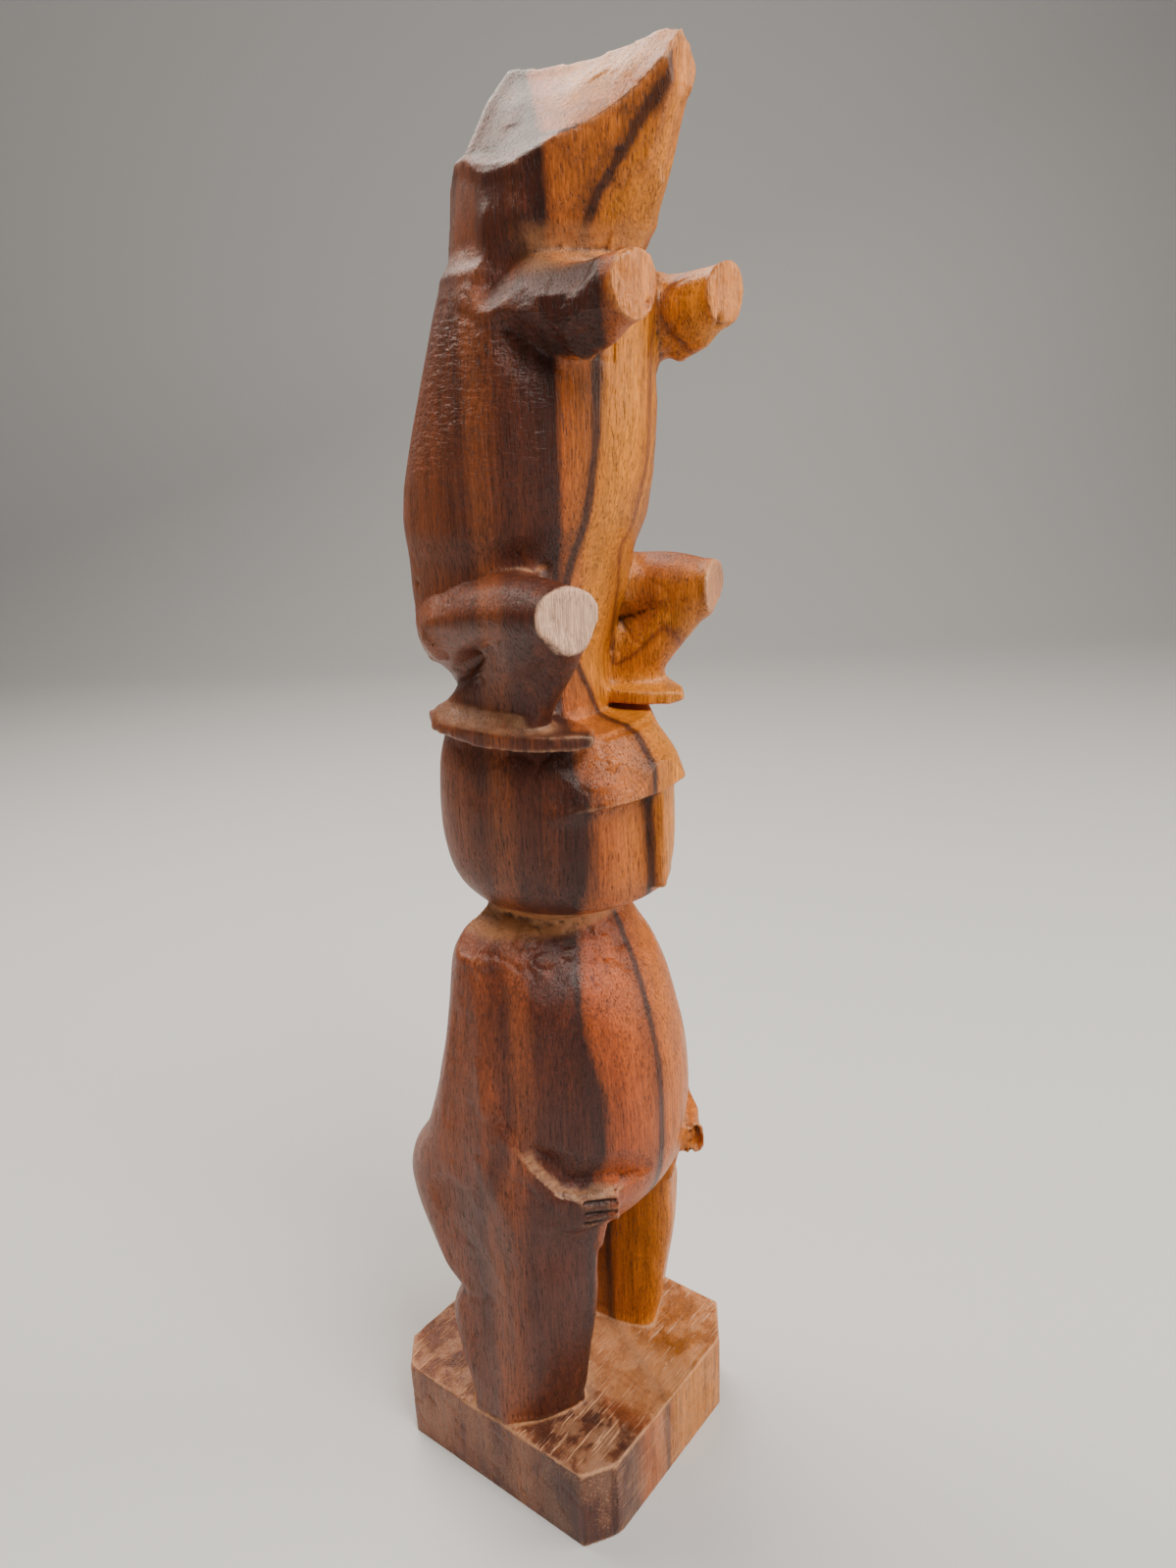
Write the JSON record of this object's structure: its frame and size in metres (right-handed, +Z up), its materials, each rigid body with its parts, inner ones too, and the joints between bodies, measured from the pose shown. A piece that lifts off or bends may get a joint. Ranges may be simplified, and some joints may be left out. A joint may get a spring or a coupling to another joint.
{
  "type": "totem pole carving",
  "caption": "Carved hardwood totem pole: a long-snouted bear squatting on the head of a standing, bent-kneed figure on a square base with sawn corners.",
  "frame": {"origin": "Centre of the base's flat underside, where the pole rests.", "axes": "+Z up along the pole, the figures look towards -Y, +X towards the figures' left."},
  "size_m": [0.061, 0.0706, 0.3],
  "materials": {
    "wood": "oiled and buffed striped hardwood"
  },
  "bodies": {
    "root": {"totem_carving": "wood"}
  },
  "joints": []
}
